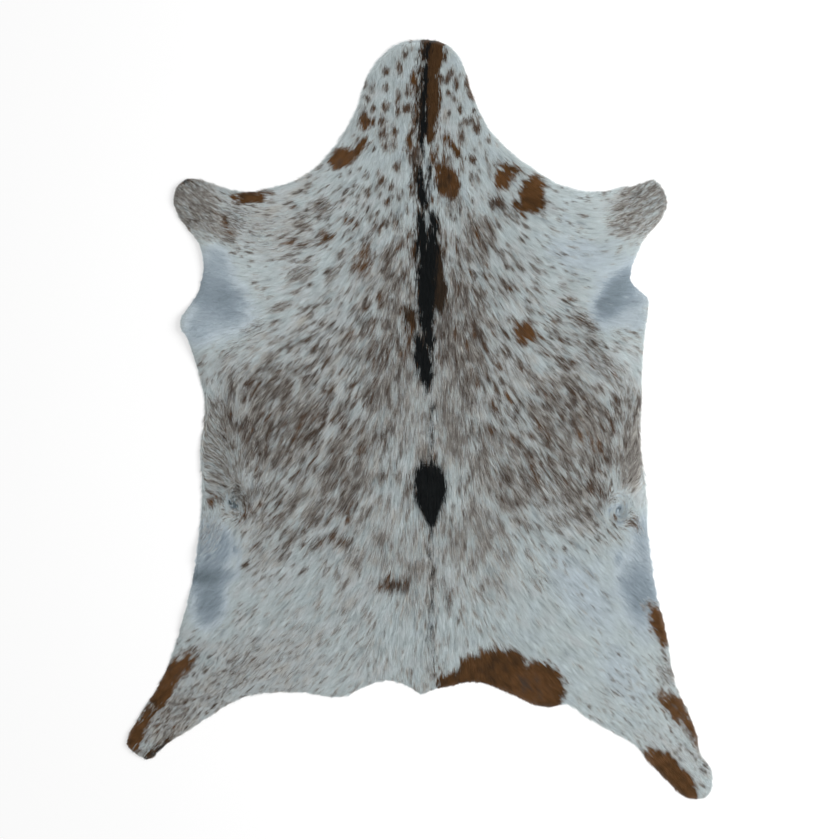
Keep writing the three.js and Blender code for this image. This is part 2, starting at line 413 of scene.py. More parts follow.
# The backbone: for each stretch its pigment, the width in mm over which its edge fades, and rows
# of (y, left edge, right edge) in mm.
BACKBONE = (
    (DARK, 7, ((474, 2, 12), (452, -1, 12), (428, 0, 10), (400, -3, 10), (372, -4, 10),
               (350, -3, 8), (342, -1, 5))),
    (BROWN + 0.03, 3, ((472, 8, 34), (456, 6, 30), (443, 5, 26), (420, 5, 26), (404, 6, 28),
                       (392, 7, 28), (381, 6, 25), (366, 6, 21), (356, 6, 19), (344, 10, 16))),
    (BLACK, 4, ((474, 13, 21), (462, 7, 13), (443, 5, 11), (422, 3, 11), (402, 1, 9),
                (388, 4, 9), (370, -1, 11), (352, 0, 8), (336, 2, 6), (322, 3, 5))),
    (BLACK, 3, ((324, 9, 12), (306, 8, 14), (290, 7, 14), (278, 6, 13), (266, 5, 10))),
    (DARK, 5, ((318, -7, 1), (302, -9, 5), (288, -8, 8), (276, -4, 11), (264, 1, 10))),
    (BLACK, 3, ((314, -3, 3), (302, -4, 6), (288, -3, 9), (276, 0, 10), (262, 4, 8))),
    (DARK, 4, ((222, 12, 29), (206, 12, 31), (186, 12, 32), (166, 12, 35), (150, 12, 34),
               (138, 18, 30))),
    (BLACK, 5, ((258, -4, 6), (246, -5, 10), (232, -5, 12), (216, -4, 13), (200, -2, 14))),
    (BLACK, 5, ((258, 12, 22), (244, 11, 24), (226, 8, 23), (206, -2, 22), (190, -5, 21),
                (160, -5, 20), (132, -2, 19), (114, 1, 19), (98, 8, 19), (84, 8, 18))),
    (BLACK, 5, ((110, -5, 1), (98, -8, 4), (86, -9, 15), (74, -7, 18), (60, -3, 18),
                (48, 3, 17), (36, 8, 15))),
    (BLACK, 3.5, ((-53, 1, 24), (-60, -5, 30), (-74, -8, 34), (-92, -8, 35), (-106, -5, 33),
                  (-120, 4, 26), (-134, 11, 18), (-143, 13, 15))),
)
# Patches as ellipses: pigment, x, y, half length, half width in mm, turn in degrees, and how
# many of the hairs in it take the pigment.
PATCHES = (
    ("neck, left", CHESTNUT + 0.02, -96, 327, 19, 13, 20, 0.96), ("", BROWN, -73, 341, 12, 6, 45, 0.9),
    ("side of the neck", BROWN, -67, 372, 10, 9, 82, 0.9), ("", CHESTNUT, -67, 370, 6, 6, 0, 0.85),
    ("", ROAN, -70, 386, 9, 8, 80, 0.5),
    ("foreleg, left front", BROWN, -210, 278, 22, 9, 4, 0.98),
    ("foreleg, left", CHESTNUT, -242, 245, 12, 7, 125, 0.65), ("", ROAN, -233, 250, 20, 12, 135, 0.5),
    ("shoulder, left", BROWN, -115, 227, 8, 6, 30, 0.9), ("", CHESTNUT, -161, 221, 10, 4, 175, 0.8),
    ("", BROWN, -92, 247, 5, 5, 0, 0.8), ("", CHESTNUT + 0.04, -71, 196, 23, 12, 84, 0.6),
    ("beside the stripe", BROWN, -7, 421, 14, 6.5, 90, 0.88), ("", BROWN, -5, 373, 9, 5, 90, 0.8),
    ("", BROWN, -12, 345, 12, 5.5, 86, 0.85), ("", BROWN, -2, 342, 12, 4.5, 92, 0.85),
    ("", ROAN, -4, 329, 17, 11, 90, 0.8), ("", BROWN, -9, 288, 9, 5.5, 90, 0.85),
    ("", DARK, 33, 456, 8, 4, 70, 0.85), ("", DARK, -5, 210, 14, 5, 90, 0.85),
    ("beside the spine", DARK, -7, 210, 18, 7, 95, 0.75), ("", DARK, 25, 224, 16, 5, 88, 0.6),
    ("", DARK, -11, 127, 16, 10, 90, 0.88), ("", CHESTNUT, -87, 107, 6, 5, 40, 0.7),
    ("nape, right", BROWN, 36, 296, 23, 15, 104, 0.97), ("", DARK, 35, 300, 14, 8, 104, 0.6),
    ("", ROAN, 42, 274, 20, 13, 110, 0.5), ("", BROWN, 18, 327, 12, 4, 84, 0.85),
    ("", BROWN, 44, 337, 14, 6, 122, 0.9), ("", BROWN, 32, 350, 8, 4, 105, 0.8),
    ("", BROWN, 24, 316, 15, 6, 105, 0.85), ("", BROWN, 36, 322, 12, 6, 120, 0.7),
    ("shoulder, right", CHESTNUT + 0.03, 106, 301, 17, 12, 60, 0.95),
    ("", BROWN, 114, 313, 17, 6, 160, 0.9), ("", CHESTNUT + 0.03, 141, 284, 22, 15, 76, 0.97),
    ("", BROWN, 138, 268, 24, 11, 6, 0.94), ("", ROAN, 98, 270, 15, 9, 150, 0.75),
    ("", ROAN, 116, 256, 12, 7, 150, 0.6), ("", BROWN, 74, 232, 6, 5, 100, 0.8),
    ("ribs, right", CHESTNUT, 131, 109, 15, 13, 120, 0.96), ("", DARK, 132, 66, 7, 5, 100, 0.6),
    ("", CHESTNUT, 94, 105, 10, 6, 120, 0.55), ("", CHESTNUT, 215, 70, 16, 4, 125, 0.5),
    ("rump", BROWN, 90, -322, 44, 36, 0, 0.99), ("", BROWN, 145, -338, 38, 35, 0, 0.99),
    ("", BROWN, 42, -330, 22, 15, 10, 0.98), ("", BROWN, 64, -311, 15, 16, 0, 0.96),
    ("", BROWN, 114, -304, 20, 17, 150, 0.97), ("", CHESTNUT, 140, -334, 30, 24, 0, 0.75),
    ("loin, left", ROAN, -30, -206, 25, 11, 0, 0.8), ("", BROWN, -37, -206, 17, 6, 0, 0.5),
    ("loin, right", ROAN, 36, -223, 14, 6, 90, 0.75),
    ("hind leg, left", CHESTNUT, -290, -302, 17, 9, 62, 0.86),
    ("", CHESTNUT, -306, -314, 18, 12, 60, 0.9), ("", CHESTNUT + 0.05, -321, -340, 27, 13, 62, 0.94),
    ("", BROWN, -340, -369, 20, 8, 60, 0.75), ("", CHESTNUT + 0.05, -357, -397, 27, 12, 62, 0.95),
    ("hind foot, left", DARK, -328, -414, 20, 6, 38, 0.95), ("", DARK, -336, -420, 10, 8, 30, 0.95),
    ("hock, left", ROAN, -224, -306, 18, 7, 40, 0.45),
    ("hind leg, right", CHESTNUT + 0.04, 300, -258, 27, 11, 110, 0.93),
    ("", CHESTNUT, 292, -236, 13, 7, 150, 0.75), ("", ROAN, 310, -318, 22, 11, 112, 0.5),
    ("", CHESTNUT, 320, -360, 26, 13, 128, 0.8), ("", CHESTNUT, 306, -349, 13, 9, 130, 0.7),
    ("", CHESTNUT + 0.03, 342, -390, 26, 8, 112, 0.85), ("", ROAN, 350, -416, 16, 7, 100, 0.5),
    ("", BROWN - 0.03, 314, -445, 45, 19, 132, 0.96),
    ("hind foot, right", DARK, 355, -436, 5, 4, 100, 0.9), ("", ROAN, 258, -334, 13, 6, 20, 0.4),
    ("foot of the foreleg, left", BLACK, -291, 298, 8, 4, 30, 0.8),
    ("tail", CREAM, 6, -334, 14, 5, 90, 0.85), ("", GREY, 10, -308, 17, 6, 90, 0.5),
    ("flank edge, left", CHESTNUT, -256, -99, 9, 5, 62, 0.85),
    ("", CHESTNUT, -255, -134, 7, 5, 60, 0.5), ("", GREY, -264, -140, 32, 17, 92, 0.35),
    ("whorl, left", WHITE, -240, -106, 14, 4.5, 94, 0.9), ("", SLATE, -231, -106, 8.5, 4.5, 88, 0.97),
    ("", ROAN, -214, -109, 12, 3.5, 82, 0.8), ("", CHESTNUT - 0.04, -221, -122, 12, 3.5, 36, 0.85),
    ("", GREY, -244, -118, 11, 2, 110, 0.5), ("", GREY, -236, -132, 12, 2, 150, 0.5),
    ("flank edge, right", ROAN + 0.05, 268, -126, 12, 4.5, 112, 0.8),
    ("", GREY, 244, -134, 11, 2.5, 165, 0.6), ("", GREY, 247, -144, 10, 2.5, 160, 0.5),
)
# The plainest dark clumps, and the plainest gaps where the coat stays white, as the patches.
CLUMPS = (
    ("shoulder, left", ROAN, -124, 265, 14, 11, 0, 0.6), ("", ROAN, -84, 266, 14, 11, 160, 0.3),
    ("", ROAN, -52, 241, 13, 6, 40, 0.7), ("", ROAN, -28, 246, 14, 8, 100, 0.6),
    ("", WHITE, -46, 222, 18, 8, 30, 0.7), ("", WHITE, -70, 160, 14, 6, 70, 0.5),
    ("ribs, left", ROAN, -49, 70, 18, 9, 80, 0.5), ("", ROAN, -77, 82, 13, 8, 90, 0.6),
    ("", ROAN, -139, 58, 12, 6, 90, 0.6), ("", WHITE, -203, 76, 15, 9, 40, 0.6),
    ("", ROAN, -208, 112, 20, 9, 35, 0.5), ("", ROAN, -236, 84, 20, 9, 40, 0.45),
    ("", ROAN, -62, 118, 18, 11, 80, 0.55), ("", WHITE, -98, 47, 13, 9, 60, 0.6),
    ("", ROAN, -89, 12, 15, 8, 80, 0.5), ("", ROAN, -212, -14, 21, 13, 60, 0.5),
    ("", WHITE, -54, 0, 16, 11, 60, 0.5),
    ("back", WHITE, -13, 22, 32, 12, 90, 0.15), ("", ROAN - 0.03, 29, 118, 24, 9, 90, 0.7),
    ("", ROAN - 0.03, 29, 84, 22, 8, 90, 0.65), ("", WHITE, 36, 49, 11, 6, 80, 0.4),
    ("loin, left", ROAN, -114, -62, 20, 12, 60, 0.5), ("", WHITE, -190, -71, 9, 6, 60, 0.6),
    ("", ROAN, -122, -101, 14, 9, 60, 0.4), ("", WHITE, -138, -84, 10, 6, 50, 0.6),
    ("", WHITE, -152, -122, 18, 11, 55, 0.6), ("", ROAN, -207, -90, 19, 10, 60, 0.55),
    ("", WHITE, -62, -60, 18, 11, 75, 0.45),
    ("thigh, left", ROAN + 0.05, -139, -134, 11, 4, 12, 0.6),
    ("", ROAN + 0.03, -112, -148, 22, 8, 8, 0.65),
    ("buttock, left", GREY, -60, -278, 16, 10, 30, 0.4), ("", GREY, -131, -264, 11, 9, 60, 0.3),
    ("shoulder, right", ROAN, 60, 156, 24, 6, 5, 0.5), ("", WHITE, 122, 90, 14, 8, 130, 0.45),
    ("", ROAN, 106, 167, 16, 10, 110, 0.5),
    ("ribs, right", WHITE, 115, 139, 11, 10, 100, 0.7), ("", WHITE, 155, 139, 11, 7, 150, 0.6),
    ("", WHITE, 147, 67, 15, 9, 130, 0.7), ("", ROAN + 0.03, 166, 50, 20, 5, 92, 0.6),
    ("", ROAN - 0.05, 208, 118, 26, 13, 130, 0.55), ("", ROAN, 226, 82, 26, 11, 125, 0.5),
    ("", ROAN - 0.03, 250, 60, 16, 8, 115, 0.45), ("", CHESTNUT, 204, 76, 20, 6, 125, 0.4),
    ("", ROAN + 0.04, 243, 54, 16, 7, 120, 0.5), ("", CHESTNUT, 207, -22, 24, 10, 130, 0.5),
    ("", WHITE, 178, -22, 18, 10, 125, 0.4), ("", ROAN + 0.04, 139, -60, 18, 8, 115, 0.5),
    ("loin, right", WHITE, 145, -119, 17, 10, 150, 0.6), ("", WHITE, 81, -88, 22, 17, 0, 0.35),
    ("", WHITE, 90, -31, 18, 11, 110, 0.4), ("", ROAN, 120, 0, 20, 10, 115, 0.45),
    ("", ROAN, 178, -104, 24, 7, 115, 0.5), ("", ROAN, 226, -88, 22, 13, 135, 0.6),
    ("", GREY, 61, -129, 18, 13, 100, 0.5), ("", WHITE, 92, -182, 18, 12, 115, 0.5),
    ("", WHITE, 178, -62, 14, 8, 120, 0.4),
)
# Where the coat is thin the blue of the skin shows through, and along the feathers, the left whorl and
# the right flank it is creamier. In the armpits, groins and the left flank crease the blue is partly
# painted shade of the dips and creases there, and the silver places are painted light: the lit right
# elbow flap, the fold ridge of the left flank line, and the right foreleg and thigh, on the side the
# light comes from. As the patches, but soft.
THIN_COAT_AND_PAINTED_LIGHT = (
    # painted shade in part: the blue of the left armpit, deepest in its dip
    ("armpit, left", BLUE, -256, 154, 92, 56, 112, 1.0), ("", BLUE_DEEP, -228, 142, 60, 34, 138, 0.4),
    ("", BLUE_DEEP, -272, 146, 26, 18, 100, 0.3),
    ("elbow flap, left", BLUE + 0.01, -276, 112, 40, 34, 70, 0.93),
    ("", BLUE + 0.01, -252, 196, 38, 25, 100, 0.85),
    # painted shade in part: the deep blue band in the right armpit is the shadow of its fold
    ("armpit, right", BLUE, 252, 156, 80, 46, 50, 1.0), ("", BLUE_DEEP, 243, 156, 62, 24, 50, 0.7),
    # painted highlight: the silver elbow flap, lit from the right, and the foreleg beside it
    ("elbow flap, right", SILVER_HIGHLIGHT, 270, 122, 30, 26, 20, 0.9), ("", BLUE, 272, 146, 24, 12, 20, 0.5),
    ("foreleg, right", SILVER_HIGHLIGHT, 196, 206, 70, 36, 170, 0.9),
    # painted shade in part: the blue of the groins; the narrow deep blue band at the left stifle is
    # painted shade in a crease, with softer shade beside and below it
    ("stifle, left", BLUE - 0.015, -264, -206, 84, 40, 96, 1.0),
    ("", BLUE_DEEP, -276, -198, 34, 12, 172, 1.0), ("", BLUE_DEEP, -252, -194, 44, 14, 176, 0.55),
    ("", BLUE_DEEP, -264, -238, 42, 28, 70, 0.5),
    ("stifle, right", BLUE - 0.012, 278, -216, 84, 42, 104, 1.0),
    ("", BLUE_DEEP, 256, -212, 34, 12, 98, 0.25), ("", BLUE_DEEP, 270, -248, 30, 12, 108, 0.15),
    ("", BLUE_DEEP, 248, -172, 16, 7, 80, 0.5),
    # painted light: the silver on the right thigh, on the side the light comes from
    ("thigh, right", SILVER_HIGHLIGHT, 206, -220, 90, 44, 125, 0.9), ("", SILVER_HIGHLIGHT, 250, -316, 64, 38, 122, 0.8),
    ("belly edge, left", BLUE - 0.015, -264, -146, 44, 26, 92, 0.8),
    ("belly edge, right", BLUE, 280, -146, 50, 22, 96, 0.8),
    ("whorl, left", CREAM, -232, -104, 20, 13, 90, 0.8),
    ("whorl, right", BLUE_DEEP + 0.02, 249, -113, 15, 6.5, 95, 1.0),
    ("flank, right", CREAM + 0.06, 268, -50, 66, 16, 92, 0.9),
    # painted shade: the deep blue of the left flank crease and the trough beside it; the silver flank
    # line is a painted highlight on the fold ridge
    ("flank crease, left", BLUE_DEEP, -230, -162, 14, 4, 90, 0.8),
    ("", BLUE_DEEP + 0.03, -244, -158, 44, 22, 92, 0.8),
    ("flank line, left", SILVER_HIGHLIGHT, -225, -172, 44, 5, 87, 1.2),
    ("feather, left", CREAM, -236, -20, 60, 6, 94, 0.3),
    ("feather, right", CREAM, 254, -40, 60, 6, 88, 0.6),
)
# Places where brown and white hairs are mixed evenly: as the patches, with the share of brown.
ROANED = (
    ("foreleg, left", -284, 270, 52, 42, 125, 0.6), ("", -250, 240, 40, 26, 140, 0.50),
    ("", -262, 216, 36, 20, 140, 0.46),
    ("foreleg, right", 278, 264, 60, 46, 45, 0.56), ("", 250, 250, 30, 24, 80, 0.4),
    ("shoulder, left", -122, 266, 19, 15, 30, 0.55), ("", -146, 243, 17, 11, 170, 0.5),
    ("", -148, 181, 25, 15, 25, 0.5), ("", -108, 184, 14, 11, 0, 0.5), ("", -174, 140, 22, 9, 20, 0.5),
    ("flank edge, left", -246, -30, 86, 42, 94, 0.46),
    ("flank edge, right", 260, -24, 98, 34, 90, 0.47),
    ("ribs, left", -176, 0, 100, 70, 60, 0.52),
    ("ribs, right", 190, -10, 104, 70, 120, 0.6), ("", -196, 56, 48, 34, 60, 0.5),
    ("", 190, -80, 76, 42, 110, 0.55), ("", -150, -118, 66, 36, 60, 0.48),
    ("", -90, -60, 84, 54, 70, 0.52),
    ("loin, right", 106, -60, 90, 60, 110, 0.5),
    ("beside the spine, right", 56, 110, 110, 46, 90, 0.62), ("", 44, 0, 80, 40, 90, 0.52),
    ("", 72, 226, 42, 34, 90, 0.55),
    ("beside the spine, left", -30, 160, 94, 34, 90, 0.5), ("", -46, 50, 96, 46, 90, 0.5),
    ("backbone", 8, -20, 90, 26, 90, 0.36), ("", 0, -200, 80, 36, 90, 0.36),
    ("loin, left", -60, -150, 70, 54, 60, 0.34),
    ("thigh, left", -180, -140, 70, 44, 60, 0.34),
    ("hind leg, left", -310, -374, 62, 34, 60, 0.43), ("", -226, -312, 50, 32, 40, 0.34),
    ("loin, right", 80, -160, 80, 50, 120, 0.4),
    ("hock, left", -250, -330, 60, 30, 50, 0.3),
    ("whorl, left", -228, -104, 44, 32, 90, 0.42),
    ("neck, left", -40, 354, 28, 20, 100, 0.38),
    ("shoulder, left", -180, 236, 80, 44, 160, 0.3),
)
# Speckles, by place: share of the coat that they cover, their length and width in mm, and
# their pigment. Between the places the values run smoothly into each other.
SPECKLED = (
    ("crown, left", -40, 452, 0.15, 11, 10, ROAN),
    ("crown, right", 56, 440, 0.14, 11, 10, ROAN),
    ("neck, left", -36, 402, 0.12, 12, 10, ROAN),
    ("neck, right", 54, 392, 0.48, 12, 10, ROAN - 0.04),
    ("foot of the neck, left", -42, 340, 0.06, 11, 10, ROAN),
    ("foot of the neck, right", 66, 336, 0.34, 11, 9, ROAN - 0.03), ("", 108, 342, 0.11, 10, 7, GREY),
    ("shoulder, left", -64, 274, 0.36, 10, 7, ROAN), ("", -124, 262, 0.70, 10, 7, ROAN),
    ("outer shoulder, left", -180, 232, 0.60, 12, 6, ROAN - 0.05), ("", -150, 300, 0.22, 10, 6, GREY),
    ("foreleg, left", -270, 264, 0.42, 8, 6, ROAN - 0.06), ("", -232, 232, 0.56, 10, 6, ROAN),
    ("armpit, left", -228, 178, 0.14, 9, 5, GREY), ("", -190, 158, 0.16, 10, 6, GREY),
    ("ribs, left front", -120, 172, 0.44, 12, 6, ROAN - 0.04), ("", -44, 200, 0.74, 12, 9, ROAN),
    ("ribs, left", -42, 120, 0.82, 14, 9, ROAN), ("", -120, 104, 0.58, 12, 8, ROAN),
    ("", -196, 104, 0.74, 13, 6, GREY), ("", -256, 86, 0.42, 11, 5, GREY),
    ("", -205, 44, 0.88, 15, 7, ROAN), ("", -124, 40, 0.80, 15, 8, ROAN),
    ("", -56, 52, 0.84, 15, 8, ROAN), ("", -8, 14, 0.68, 15, 7, GREY),
    ("flank, left", -186, -20, 0.83, 15, 7, ROAN), ("", -120, -40, 0.83, 15, 8, ROAN),
    ("", -52, -40, 0.68, 15, 7, ROAN), ("", -246, -20, 0.24, 11, 5, ROAN),
    ("", -262, -70, 0.20, 11, 5, ROAN), ("", -170, -96, 0.78, 13, 7, ROAN),
    ("loin, left", -92, -104, 0.74, 14, 8, ROAN), ("", -24, -100, 0.50, 14, 7, GREY),
    ("thigh, left", -190, -150, 0.48, 13, 5, ROAN), ("", -116, -160, 0.52, 13, 7, ROAN),
    ("", -30, -160, 0.62, 13, 7, GREY), ("", -160, -216, 0.24, 10, 5, GREY),
    ("", -90, -222, 0.40, 12, 6, GREY), ("", -20, -256, 0.14, 13, 6, GREY),
    ("buttock, left", -150, -290, 0.56, 8, 4.5, GREY), ("", -214, -290, 0.62, 7, 4.5, ROAN - 0.02),
    ("", -66, -312, 0.48, 9, 4.5, GREY), ("", -322, -388, 0.62, 8, 6, ROAN),
    ("hind leg, left", -280, -350, 0.64, 8, 6, ROAN),
    ("stifle, left", -262, -200, 0.04, 8, 5, GREY),
    ("shoulder, right", 40, 254, 0.24, 10, 6, ROAN), ("", 70, 216, 0.80, 12, 8, ROAN),
    ("", 112, 240, 0.46, 11, 6, ROAN), ("", 160, 240, 0.16, 9, 5, GREY),
    ("foreleg, right", 214, 262, 0.16, 9, 5, ROAN), ("", 272, 262, 0.34, 8, 6, ROAN - 0.08),
    ("", 256, 212, 0.24, 8, 6, GREY),
    ("armpit, right", 212, 196, 0.07, 9, 5, GREY),
    ("ribs, right front", 150, 194, 0.40, 12, 5, ROAN), ("", 104, 160, 0.74, 12, 7, ROAN),
    ("", 170, 146, 0.57, 12, 6, ROAN),
    ("ribs, right", 58, 130, 0.88, 15, 8, ROAN), ("", 50, 70, 0.83, 15, 8, ROAN),
    ("", 116, 80, 0.76, 13, 7, ROAN), ("", 190, 88, 0.92, 14, 7, ROAN),
    ("", 222, 124, 0.80, 13, 6, ROAN), ("", 262, 84, 0.24, 10, 5, GREY),
    ("", 84, 14, 0.84, 15, 8, ROAN), ("", 160, 20, 0.80, 15, 7, ROAN),
    ("", 232, 18, 0.92, 14, 7, ROAN), ("", 34, -24, 0.75, 15, 7, GREY),
    ("flank, right", 96, -50, 0.78, 15, 7, ROAN), ("", 170, -44, 0.90, 15, 7, ROAN),
    ("", 224, -56, 0.90, 13, 7, ROAN), ("", 268, -60, 0.12, 10, 5, GREY),
    ("loin, right", 60, -110, 0.68, 13, 7, ROAN - 0.05), ("", 136, -118, 0.75, 13, 7, ROAN - 0.03),
    ("", 200, -124, 0.62, 13, 5, ROAN),
    ("thigh, right", 64, -172, 0.80, 12, 7, GREY), ("", 140, -184, 0.22, 12, 5, GREY),
    ("", 206, -196, 0.08, 10, 5, GREY), ("", 56, -246, 0.37, 12, 5, GREY),
    ("", 140, -262, 0.06, 10, 5, GREY),
    ("buttock, right", 220, -290, 0.08, 8, 4, GREY), ("", 270, -344, 0.34, 7, 4, ROAN - 0.05),
    ("hind leg, right", 306, -400, 0.50, 7, 4, ROAN - 0.05), ("", 352, -452, 0.70, 8, 6, ROAN),
    ("stifle, right", 264, -206, 0.03, 8, 5, GREY),
)
# The plainest spots of the neck and withers: x, y, length and width in mm. A spot fades at its
# rim, so it is made larger than it looks.
SPOTS = (
    ("neck, left", -42, 435, 13, 12), ("", -25, 439, 24, 11), ("", -26, 403, 26, 11),
    ("", -16, 389, 15, 14), ("", -42, 415, 14, 10), ("", -42, 390, 15, 14), ("", -59, 415, 16, 10),
    ("", -58, 388, 11, 9), ("", -27, 383, 16, 9), ("", -47, 373, 16, 10), ("", -47, 357, 14, 12),
    ("", -42, 341, 12, 13), ("", -31, 360, 18, 10), ("", -31, 343, 16, 10),
    ("neck, right", 39, 433, 16, 12), ("", 46, 418, 18, 10), ("", 35, 424, 13, 10),
    ("", 38, 405, 12, 11), ("", 61, 418, 26, 10), ("", 65, 404, 16, 10), ("", 50, 388, 11, 9),
    ("", 58, 372, 13, 11), ("", 71, 364, 16, 13), ("", 52, 353, 26, 11), ("", 66, 325, 15, 13),
    ("withers, left", -28, 316, 16, 12), ("", -47, 298, 17, 12), ("", -66, 305, 11, 10),
    ("", -36, 290, 12, 9), ("", -63, 282, 15, 11), ("", -40, 271, 15, 12),
)
SPECKLE_SPACING = 0.0062     # the grid on which speckles are scattered
ZONE_REACH = 0.026           # how far each speckled place has its say
RUN_TOGETHER = 0.0058        # where hair is over 2.4 times this length, speckles run together
SPECKLE_SLIMNESS = 0.82      # speckles are so much slimmer than in the table
SPOT_LENGTH_SCALE, SPOT_WIDTH_SCALE = 880, 940   # mm of a plain spot to a metre
# Behind the stripes a faint dark line runs on along the backbone.
LINE_X, LINE_WAVER, LINE_WIDTH = 0.0148, 0.0012, 0.0065
LINE_START, LINE_END, LINE_FULL = 0.09, -0.32, 0.38

weight_sum = np.full(grid_x.shape, 1e-12)
cover_map, spot_length_map, spot_width_map, spot_tone_map = (
    np.zeros(grid_x.shape) for _ in range(4))
for _, x, y, cover, spot_length, spot_width, pigment in SPECKLED:
    _, weight = say_of(x, y, ZONE_REACH)
    weight_sum += weight
    cover_map += weight * cover
    spot_length_map += weight * spot_length / 1000
    spot_width_map += weight * spot_width / 1000
    spot_tone_map += weight * pigment
for values in (cover_map, spot_length_map, spot_width_map, spot_tone_map):
    values /= weight_sum
cover_map *= 1 - 0.8 * whorl_map


def clouds(x, y, size, seed):
    """Soft unevenness between -1 and 1, with features of about this size in metres."""
    turn = np.random.default_rng(seed)
    total = np.zeros(np.shape(x))
    for _ in range(9):
        way = turn.uniform(0, 2 * math.pi)
        pitch = 2 * math.pi / (size * turn.uniform(0.7, 1.6))
        wave = pitch * (x * math.cos(way) + y * math.sin(way)) + turn.uniform(0, 6.3)
        bend = 1.3 * np.sin(pitch * 0.6 * (y * math.cos(way) - x * math.sin(way)))
        total += np.sin(wave + bend)
    return np.clip(total / 4.5, -1, 1)


def clumps(x, y):
    """How much denser or thinner than usual the dark hair is, in clumps a finger or two wide."""
    return 0.45 * clouds(x, y, 0.06, 5) + 0.8 * clouds(x, y, 0.026, 15)


def way_at(along_x, along_y, x, y):
    """The way that hair with this lie runs at each place, in radians."""
    return np.arctan2(read(along_y, x, y), read(along_x, x, y))


# Each speckle is an ellipse that lies along the hair. What they add up to is kept on a finer map:
# the share of hairs that are pigmented there, and the pigment.
speckle_share = np.zeros(fine_size, np.float32)
speckle_tone = np.full(fine_size, ROAN, np.float32)
scatter = np.random.default_rng(23)
cells = (fine_size * FINE_STEP / SPECKLE_SPACING).astype(int)
column, row = (a.ravel() for a in np.meshgrid(*map(np.arange, cells), indexing="ij"))
spot_x = low[0] + (column + scatter.uniform(0, 1, column.size)) * SPECKLE_SPACING
spot_y = low[1] + (row + scatter.uniform(0, 1, row.size)) * SPECKLE_SPACING
spot_l = read(spot_length_map, spot_x, spot_y)
spot_w = SPECKLE_SLIMNESS * read(spot_width_map, spot_x, spot_y)
ground = SPECKLE_SPACING ** 2 / (math.pi / 4 * spot_l * spot_w)
wanted = read(cover_map, spot_x, spot_y) * np.clip(1 + clumps(spot_x, spot_y), 0.1, 2.4)
chance = -np.log(1 - np.clip(wanted, 0, 0.93)) * ground
kept = (scatter.uniform(0, 1, column.size) < chance) & (read(rim_map, spot_x, spot_y) > -0.01)
# In the short hair of the neck the spots stand apart; in the long hair they run together.
stands_apart = (scatter.uniform(0, 1, column.size)
                < 2.4 - read(length_map, spot_x, spot_y) / RUN_TOGETHER)
spot_way = way_at(flow_x, flow_y, spot_x, spot_y) + scatter.normal(0, 0.12, column.size)
spot_l = spot_l * np.exp(scatter.normal(0, 0.32, column.size))
spot_w = spot_w * np.exp(scatter.normal(0, 0.28, column.size))
spot_full = np.where(stands_apart, scatter.uniform(0.5, 0.95, column.size),
                     scatter.uniform(0.35, 0.95, column.size))
spot_tone = read(spot_tone_map, spot_x, spot_y) + scatter.normal(0, 0.03, column.size)
warm = scatter.uniform(0, 1, column.size)
spot_tone = np.where(warm < 0.2, spot_tone + 0.3 * warm, spot_tone)
for _, x, y, spot_length, spot_width in SPOTS:
    k = np.hypot(spot_x - x / 1000, spot_y - y / 1000).argmin()
    spot_x[k], spot_y[k] = x / 1000, y / 1000
    spot_l[k], spot_w[k] = spot_length / SPOT_LENGTH_SCALE, spot_width / SPOT_WIDTH_SCALE
    spot_full[k] += 1
    spot_tone[k], kept[k], stands_apart[k] = ROAN + 0.04, True, False
placed = np.flatnonzero(spot_full > 1)
spot_full[placed] = np.clip(spot_full[placed] - 0.9, 0.75, 1.0)
for k in [*placed, *scatter.permutation(np.flatnonzero(kept))]:
    reach = int(0.7 * max(spot_l[k], spot_w[k]) / FINE_STEP) + 2
    ci, cj = int((spot_x[k] - low[0]) / FINE_STEP), int((spot_y[k] - low[1]) / FINE_STEP)
    i0, i1 = max(ci - reach, 0), min(ci + reach, fine_size[0])
    j0, j1 = max(cj - reach, 0), min(cj + reach, fine_size[1])
    dx = low[0] + FINE_STEP * np.arange(i0, i1)[:, None] - spot_x[k]
    dy = low[1] + FINE_STEP * np.arange(j0, j1)[None, :] - spot_y[k]
    along = (dx * math.cos(spot_way[k]) + dy * math.sin(spot_way[k])) / (spot_l[k] / 2)
    across = (dy * math.cos(spot_way[k]) - dx * math.sin(spot_way[k])) / (spot_w[k] / 2)
    share = spot_full[k] * np.clip(1.3 - 1.05 * np.hypot(along, across), 0, 1)
    shares_here, tones_here = speckle_share[i0:i1, j0:j1], speckle_tone[i0:i1, j0:j1]
    if stands_apart[k] and (share * shares_here).max() > 0.05:
        continue
    wins = share > shares_here
    shares_here[wins] = share[wins]
    tones_here[wins] = spot_tone[k]


def in_ellipse(x, y, cx, cy, half_length, half_width, turn):
    """How deep each place lies in an ellipse, all in mm: above nought inside it."""
    cos, sin = math.cos(math.radians(turn)), math.sin(math.radians(turn))
    dx, dy = x * 1000 - cx, y * 1000 - cy
    along, across = (dx * cos + dy * sin) / half_length, (dy * cos - dx * sin) / half_width
    return (1 - np.hypot(along, across)) * min(half_length, half_width)


def taken(share, dice, softness):
    """How much of a pigment each hair takes, nought to one, so that they add up to the share."""
    return np.clip((share * (1 + softness) - dice) / softness, 0, 1)


